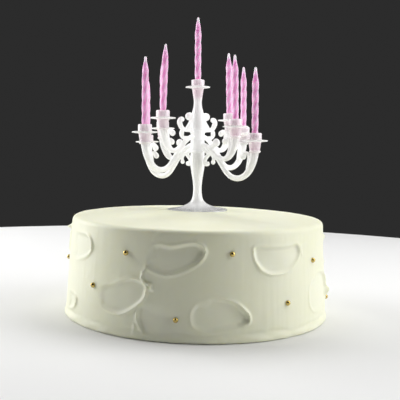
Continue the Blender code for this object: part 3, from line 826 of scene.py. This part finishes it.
def paintGlow(piece):
    # painted light: how much of a candle's pink, and of the side light, is painted as showing
    # through at each point
    points = readPoints(piece)
    glow, core = np.zeros(len(points)), np.zeros(len(points))
    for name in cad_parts:
        if name.startswith("candle_"):
            foot, tip = candleEnds(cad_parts[name])
            axis = np.array((tip - foot).normalized())
            reach = (points - np.array(foot)) @ axis / mm
            away = np.linalg.norm(points - np.array(foot) - np.outer(reach * mm, axis), axis=1)
            near = easeStep((candleLight["radius"] - away / mm) / candleLight["fade"])
            near = near * easeStep((reach + candleLight["below"]) / candleLight["below"])
            above = easeStep((candleLight["top"] - reach) / candleLight["fade"])
            glow = np.maximum(glow, near * above)
            if name == "candle_middle":
                # painted light on the hubs round the middle candle's column
                off = hubLight["halfHeight"] - np.abs(reach - hubLight["middle"])
                core = easeStep((hubLight["radius"] - away / mm) / hubLight["fade"])
                core = core * easeStep(off / hubLight["fade"])
    paintPoints(piece, "glow", glow)
    paintPoints(piece, "core", core)


for piece in plasticPieces:
    paintGlow(piece)


def newMaterial(name):
    material = bpy.data.materials.new(name)
    material.use_nodes = True
    nodes, links = material.node_tree.nodes, material.node_tree.links
    return material, nodes, links, nodes["Principled BSDF"]


def makeMottleGroup():
    # soft blotches and fine grain: a mask from 0 to 1 that every finish here uses
    group = bpy.data.node_groups.new("softMottle", 'ShaderNodeTree')
    face = group.interface
    for name, default in (("Blotch Scale", 30.0), ("Grain Scale", 600.0), ("Grain Share", 0.3)):
        face.new_socket(name, in_out='INPUT', socket_type='NodeSocketFloat').default_value = default
    face.new_socket("Stretch", in_out='INPUT', socket_type='NodeSocketVector')
    face.new_socket("Mask", in_out='OUTPUT', socket_type='NodeSocketFloat')
    nodes, links = group.nodes, group.links
    given = nodes.new('NodeGroupInput')
    coords = nodes.new('ShaderNodeTexCoord')
    stretch = nodes.new('ShaderNodeVectorMath')
    stretch.operation = 'MULTIPLY'
    links.new(coords.outputs["Object"], stretch.inputs[0])
    links.new(given.outputs["Stretch"], stretch.inputs[1])
    sizes = []
    for socketName, detail in (("Blotch Scale", 3.0), ("Grain Scale", 5.0)):
        texture = nodes.new('ShaderNodeTexNoise')
        texture.inputs["Detail"].default_value = detail
        links.new(stretch.outputs[0], texture.inputs["Vector"])
        links.new(given.outputs[socketName], texture.inputs["Scale"])
        sizes.append(texture)
    mix = nodes.new('ShaderNodeMix')
    mix.data_type = 'FLOAT'
    links.new(given.outputs["Grain Share"], mix.inputs["Factor"])
    links.new(sizes[0].outputs["Fac"], mix.inputs["A"])
    links.new(sizes[1].outputs["Fac"], mix.inputs["B"])
    result = nodes.new('NodeGroupOutput')
    links.new(mix.outputs["Result"], result.inputs["Mask"])
    return group


mottleGroup = makeMottleGroup()


def addMottle(nodes, blotch, grain, share, stretch=(1, 1, 1)):
    mottle = nodes.new('ShaderNodeGroup')
    mottle.node_tree = mottleGroup
    mottle.inputs["Blotch Scale"].default_value = blotch
    mottle.inputs["Grain Scale"].default_value = grain
    mottle.inputs["Grain Share"].default_value = share
    mottle.inputs["Stretch"].default_value = stretch
    return mottle.outputs["Mask"]


def addColourMix(nodes, links, factor, first, second):
    # first and second are a colour or another node's output
    mix = nodes.new('ShaderNodeMix')
    mix.data_type = 'RGBA'
    links.new(factor, mix.inputs["Factor"])
    for given, name in ((first, "A"), (second, "B")):
        target = next(s for s in mix.inputs if s.name == name and s.type == 'RGBA')
        if isinstance(given, tuple):
            target.default_value = (*given, 1)
        else:
            links.new(given, target)
    return next(s for s in mix.outputs if s.type == 'RGBA')


def addRange(nodes, links, value, low, high, newLow, newHigh):
    ranged = nodes.new('ShaderNodeMapRange')
    ranged.inputs["From Min"].default_value = low
    ranged.inputs["From Max"].default_value = high
    ranged.inputs["To Min"].default_value = newLow
    ranged.inputs["To Max"].default_value = newHigh
    links.new(value, ranged.inputs["Value"])
    return ranged.outputs["Result"]


def addAttribute(nodes, name):
    attribute = nodes.new('ShaderNodeAttribute')
    attribute.attribute_name = name
    return attribute.outputs["Fac"]


def addBump(nodes, links, height, distance, strength, shader):
    bump = nodes.new('ShaderNodeBump')
    bump.inputs["Distance"].default_value = distance * mm
    bump.inputs["Strength"].default_value = strength
    links.new(height, bump.inputs["Height"])
    links.new(bump.outputs["Normal"], shader.inputs["Normal"])


def addRoughness(nodes, links, mask, finish, shader):
    low, high = finish["roughness"]
    links.new(addRange(nodes, links, mask, 0.3, 0.7, low, high), shader.inputs["Roughness"])


def addSoftness(finish, shader):
    # light that goes into the surface and comes out beside it
    shader.subsurface_method = 'RANDOM_WALK'
    shader.inputs["Subsurface Weight"].default_value = finish["softness"]
    shader.inputs["Subsurface Radius"].default_value = finish["softRadius"]
    shader.inputs["Subsurface Scale"].default_value = finish["softDepth"] * mm


icingFinish = {
    "cream": (0.89, 0.895, 0.715),
    "shade": (0.86, 0.865, 0.65),
    # painted sheen: the pressed strokes are a little less yellow, standing in for the reflection of
    # their smoothed surface
    "pressed": (0.885, 0.89, 0.74),
    "pressedShare": 0.35,
    "roughness": (0.42, 0.56),
    "softness": 0.30,           # how much light goes into the icing before it comes out
    "softRadius": (1.0, 0.9, 0.55),
    "softDepth": 3.0,
}


def makeIcingMaterial():
    material, nodes, links, shader = newMaterial("whippedIcing")
    blotches = addMottle(nodes, 22, 260, 0.25)
    streaks = addMottle(nodes, 160, 700, 0.35, (1, 1, 0.07))
    pressed = addAttribute(nodes, "pressed")
    shade = addRange(nodes, links, blotches, 0.35, 0.7, 0, 1)
    colour = addColourMix(nodes, links, shade, icingFinish["cream"], icingFinish["shade"])
    # painted sheen: inside the pressed strokes the colour turns a little less yellow
    inside = addRange(nodes, links, pressed, 0, 1, 0, icingFinish["pressedShare"])
    colour = addColourMix(nodes, links, inside, colour, icingFinish["pressed"])
    links.new(colour, shader.inputs["Base Color"])
    addRoughness(nodes, links, streaks, icingFinish, shader)
    addSoftness(icingFinish, shader)
    addBump(nodes, links, streaks, 0.12, 0.35, shader)
    return material


plasticFinish = {
    "white": (0.965, 0.965, 0.97),
    "cloudy": (0.93, 0.93, 0.94),
    # painted light: the pink of a candle showing through its socket, mixed into the plastic's
    # colour
    "candleGlow": (0.97, 0.80, 0.88),
    "glowShare": 0.4,
    "litThrough": (1.0, 0.84, 0.91),    # painted light that comes back out of the candle behind it
    "litStrength": 0.15,        # painted glow, standing in for side light that goes through thin plastic
    "roughness": (0.2, 0.34),
    "softness": 1.0,
    "softRadius": (1.0, 1.0, 1.0),
    "softDepth": 12.0,
}


def makePlasticMaterial():
    material, nodes, links, shader = newMaterial("whitePlastic")
    clouds = addMottle(nodes, 90, 900, 0.35)
    shade = addRange(nodes, links, clouds, 0.35, 0.7, 0, 1)
    colour = addColourMix(nodes, links, shade, plasticFinish["white"], plasticFinish["cloudy"])
    # painted light: near the candles the plastic is tinted pink
    glow = addAttribute(nodes, "glow")
    tint = addRange(nodes, links, glow, 0, 1, 0, plasticFinish["glowShare"])
    colour = addColourMix(nodes, links, tint, colour, plasticFinish["candleGlow"])
    links.new(colour, shader.inputs["Base Color"])
    # painted light: the plastic glows pink near the candles, standing in for light that comes
    # through them
    lit = addColourMix(nodes, links, glow, (0, 0, 0), plasticFinish["litThrough"])
    # painted light: the hubs glow white, standing in for side light that goes through them
    lit = addColourMix(nodes, links, addAttribute(nodes, "core"), lit, plasticFinish["white"])
    links.new(lit, shader.inputs["Emission Color"])
    shader.inputs["Emission Strength"].default_value = plasticFinish["litStrength"]
    addRoughness(nodes, links, clouds, plasticFinish, shader)
    addSoftness(plasticFinish, shader)
    addBump(nodes, links, clouds, 0.05, 0.3, shader)
    return material


waxFinish = {
    "pink": (0.99, 0.67, 0.83),
    "deep": (0.99, 0.50, 0.73),     # painted shade in the hollows between the lobes
    "tip": (0.99, 0.82, 0.92),
    "lobedRange": (0.86, 0.96),     # from a hollow to a lobe, as shares of the outline's size
    "tipRange": (0.90, 0.99),       # where the tip turns pale, as shares of the length
    "roughness": (0.46, 0.6),
    "softness": 1.0,
    "softRadius": (1.0, 0.75, 0.9),
    "softDepth": 6.0,
}


def makeWaxMaterial():
    material, nodes, links, shader = newMaterial("pinkWax")
    clouds = addMottle(nodes, 140, 1100, 0.4)
    # painted shade: the hollows between the lobes are painted a deeper pink
    lobed = addRange(nodes, links, addAttribute(nodes, "lobed"), *waxFinish["lobedRange"], 0, 1)
    colour = addColourMix(nodes, links, lobed, waxFinish["deep"], waxFinish["pink"])
    whitened = addRange(nodes, links, addAttribute(nodes, "up"), *waxFinish["tipRange"], 0, 1)
    colour = addColourMix(nodes, links, whitened, colour, waxFinish["tip"])
    links.new(colour, shader.inputs["Base Color"])
    addRoughness(nodes, links, clouds, waxFinish, shader)
    addSoftness(waxFinish, shader)
    addBump(nodes, links, clouds, 0.06, 0.35, shader)
    return material


goldFinish = {"gold": (0.72, 0.56, 0.20), "deep": (0.45, 0.33, 0.10), "roughness": (0.14, 0.30)}


def makeGoldMaterial():
    material, nodes, links, shader = newMaterial("goldSugar")
    clouds = addMottle(nodes, 420, 2600, 0.4)
    shade = addRange(nodes, links, clouds, 0.35, 0.7, 0, 1)
    links.new(addColourMix(nodes, links, shade, goldFinish["gold"], goldFinish["deep"]),
              shader.inputs["Base Color"])
    addRoughness(nodes, links, clouds, goldFinish, shader)
    shader.inputs["Metallic"].default_value = 1
    addBump(nodes, links, clouds, 0.05, 0.3, shader)
    return material


def dress(piece, material):
    piece.data.materials.clear()
    piece.data.materials.append(material)


dress(cake, makeIcingMaterial())
dress(sugarBalls, makeGoldMaterial())
plastic = makePlasticMaterial()
for piece in plasticPieces:
    dress(piece, plastic)
wax = makeWaxMaterial()
for candle in candles:
    dress(candle, wax)
print("materials done")


studio = {
    "floorRadius": 0.62,
    "floorCorners": 128,
    "floorHeight": -0.0002,
    "floorRoughness": 0.7,
    "floorColour": (0.80, 0.80, 0.795),
    "backdrop": 0.025,          # brightness of the plain surroundings
    "target": (0, 0, 0.10),     # what every light points at
}
# the soft lights: place, width, height and power
softLights = {
    "left": ((-0.95, 0.30, 0.36), 0.8, 0.9, 9.4),
    "leftHigh": ((-0.85, 0.30, 0.62), 0.8, 0.8, 2.9),
    "right": ((0.95, -0.10, 0.36), 0.8, 0.9, 6.2),
    "rightHigh": ((0.65, 0.0, 0.85), 0.7, 0.7, 4.7),
    "behind": ((0.0, 0.50, 1.05), 0.9, 0.6, 6.2),
}


def addSoftLight(name):
    location, width, height, power = softLights[name]
    light = bpy.data.lights.new(name + "Light", 'AREA')
    light.shape = 'RECTANGLE'
    light.size, light.size_y, light.energy = width, height, power
    lamp = bpy.data.objects.new(name + "Light", light)
    lamp.location = location
    aim = Vector(studio["target"]) - Vector(location)
    lamp.rotation_euler = aim.to_track_quat('-Z', 'Y').to_euler()
    bpy.context.scene.collection.objects.link(lamp)


def makeFloor():
    deselectAll()
    bpy.ops.mesh.primitive_circle_add(vertices=studio["floorCorners"],
                                      radius=studio["floorRadius"], fill_type='NGON',
                                      location=(0, 0, studio["floorHeight"]))
    floor = bpy.context.object
    floor.name = "floor"
    material, nodes, links, shader = newMaterial("paleFloor")
    shader.inputs["Base Color"].default_value = (*studio["floorColour"], 1)
    shader.inputs["Roughness"].default_value = studio["floorRoughness"]
    dress(floor, material)


def makeSurroundings():
    bpy.context.scene.view_settings.view_transform = 'Standard'
    world = bpy.data.worlds.new("surroundings")
    world.use_nodes = True
    background = world.node_tree.nodes["Background"]
    background.inputs["Color"].default_value = (*(studio["backdrop"],) * 3, 1)
    background.inputs["Strength"].default_value = 1
    bpy.context.scene.world = world


view = {
    "place": (0, -0.6111, 0.1395),
    "pitch": 4.415,             # degrees down
    "yaw": 0.117,               # degrees to the right
    "roll": 1.546,
    "lens": 66.6,
    "sensor": 36,
}


def makeCamera():
    pitch, yaw, roll = (math.radians(view[key]) for key in ("pitch", "yaw", "roll"))
    forward = Vector((math.sin(yaw) * math.cos(pitch), math.cos(yaw) * math.cos(pitch),
                      -math.sin(pitch)))
    right = forward.cross(Vector((0, 0, 1))).normalized()
    up = right.cross(forward)
    across = right * math.cos(roll) + up * math.sin(roll)
    upward = up * math.cos(roll) - right * math.sin(roll)
    turn = Matrix((across, upward, -forward)).transposed()
    data = bpy.data.cameras.new("camera")
    data.sensor_width = view["sensor"]
    data.lens = view["lens"]
    camera = bpy.data.objects.new("camera", data)
    camera.matrix_world = Matrix.Translation(view["place"]) @ turn.to_4x4()
    bpy.context.scene.collection.objects.link(camera)
    bpy.context.scene.camera = camera


makeFloor()
makeSurroundings()
for lightName in softLights:
    addSoftLight(lightName)
makeCamera()
print("stage done")
